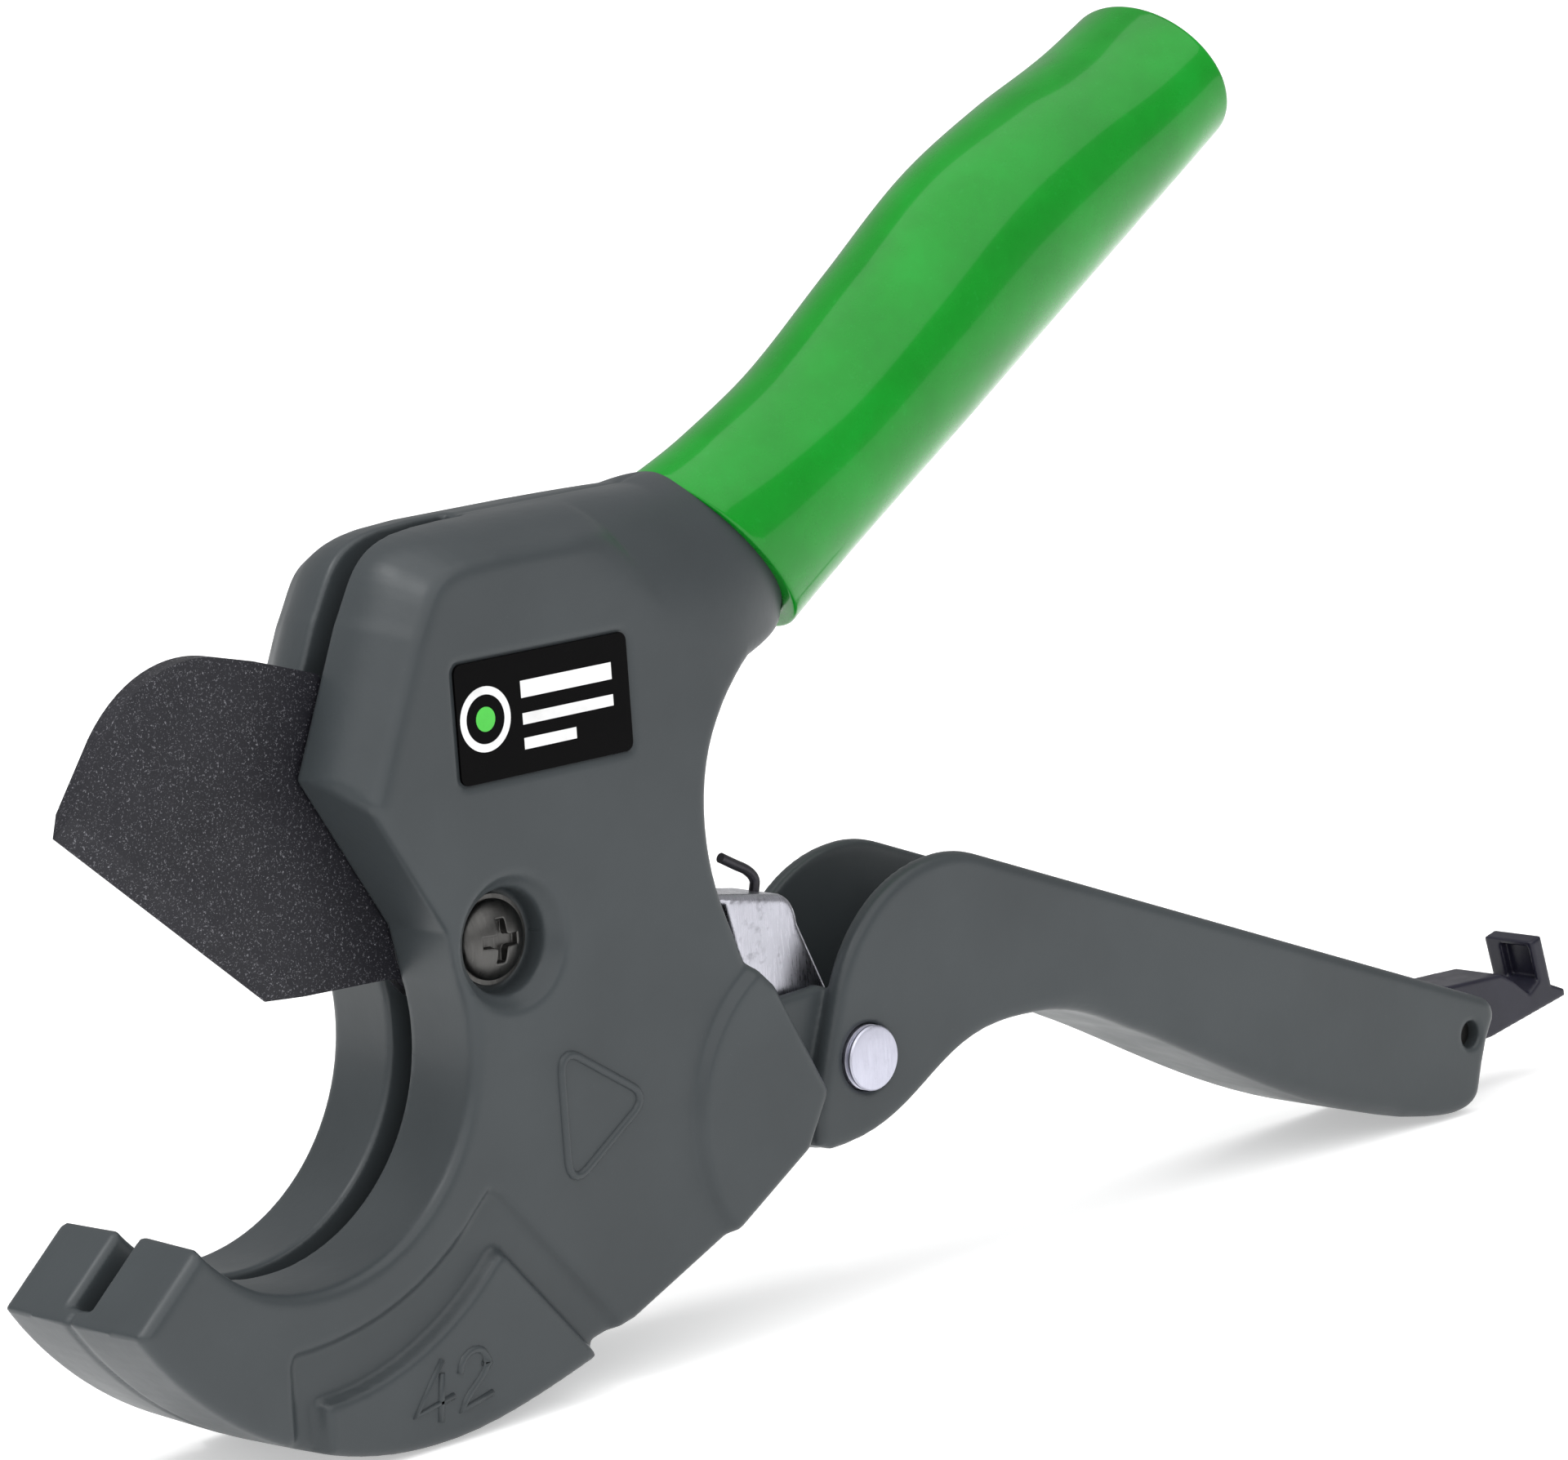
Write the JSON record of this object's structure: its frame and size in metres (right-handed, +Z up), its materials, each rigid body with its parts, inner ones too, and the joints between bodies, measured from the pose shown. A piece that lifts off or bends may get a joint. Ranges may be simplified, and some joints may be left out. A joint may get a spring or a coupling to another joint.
{
  "type": "ratcheting plastic pipe cutter",
  "caption": "Hand cutter for plastic pipe: cast hook jaw, swinging blade with ratchet teeth, squeezing lever with drive pawl, sleeved handle and folding latch.",
  "frame": {"origin": "centre of the pipe seat in the jaw, on the mid plane of the tool", "axes": "+X from the jaw towards the handles, +Y across the tool away from the label side, +Z up with the tool standing on its jaw and on the end of its lever"},
  "size_m": [0.2293, 0.0266, 0.1375],
  "materials": {
    "body_casting": "satin dark grey paint",
    "handle_grip": "glossy green dipped sleeve",
    "label_plate": "black label",
    "blade_pivot_screw": "black oxide",
    "pivot_spring_washer": "blackened",
    "blade_pivot_bush": "ground",
    "blade_shims": "rolled",
    "blade_pivot_nut": "zinc plated",
    "lever_pivot_pin": "ground",
    "lever_pin_ring": "blackened",
    "holding_pawl_pin": "ground",
    "holding_pawl": "hardened",
    "holding_pawl_spring": "spring steel",
    "blade": "dark speckled coating",
    "lever": "satin dark grey paint",
    "lever_spring": "spring steel",
    "drive_pin": "polished",
    "drive_pin_ring": "blackened",
    "drive_pawl": "zinc plated",
    "pawl_spring": "black spring wire",
    "latch_pin": "dark",
    "latch": "dark moulded plastic"
  },
  "bodies": {
    "body": {"body_casting": "body_casting", "handle_grip": "handle_grip", "label_plate": "label_plate", "blade_pivot_screw": "blade_pivot_screw", "pivot_spring_washer": "pivot_spring_washer", "blade_pivot_bush": "blade_pivot_bush", "blade_shims": "blade_shims", "blade_pivot_nut": "blade_pivot_nut", "lever_pivot_pin": "lever_pivot_pin", "lever_pin_ring": "lever_pin_ring", "holding_pawl_pin": "holding_pawl_pin", "holding_pawl_spring": "holding_pawl_spring", "lever_spring": "lever_spring"},
    "blade": {"blade": "blade"},
    "lever": {"lever": "lever", "drive_pin": "drive_pin", "drive_pin_ring": "drive_pin_ring", "latch_pin": "latch_pin"},
    "drive_pawl": {"drive_pawl": "drive_pawl", "pawl_spring": "pawl_spring"},
    "holding_pawl": {"holding_pawl": "holding_pawl"},
    "latch": {"latch": "latch"}
  },
  "joints": [
    {"name": "blade_swing", "type": "hinge", "parent": "body", "child": "blade", "pos_m": [0.0282, 0, 0.0088], "axis": [0, -1, 0], "range_deg": [-35, 62]},
    {"name": "lever_squeeze", "type": "hinge", "parent": "body", "child": "lever", "pos_m": [0.0625, 0, -0.014], "axis": [0, -1, 0], "range_deg": [0, 53], "stiffness_Nm_per_rad": 0.2, "springref_deg": -34.38, "deforming": ["lever_spring"]},
    {"name": "pawl_swing", "type": "hinge", "parent": "lever", "child": "drive_pawl", "pos_m": [0.0798, 0, -0.0141], "axis": [0, -1, 0], "range_deg": [-59.3, 0], "deforming": ["pawl_spring"]},
    {"name": "holding_pawl_swing", "type": "hinge", "parent": "body", "child": "holding_pawl", "pos_m": [0.0506, 0, -0.0214], "axis": [0, -1, 0], "range_deg": [-16, 0], "stiffness_Nm_per_rad": 0.01, "springref_deg": 17.19, "deforming": ["holding_pawl_spring"]},
    {"name": "latch_swing", "type": "hinge", "parent": "lever", "child": "latch", "pos_m": [0.1807, 0, -0.0318], "axis": [0, -1, 0], "range_deg": [-60, 2]}
  ],
  "couplings": [
    {"joint": "pawl_swing", "follows": "lever_squeeze", "ratio": -1.1185}
  ]
}
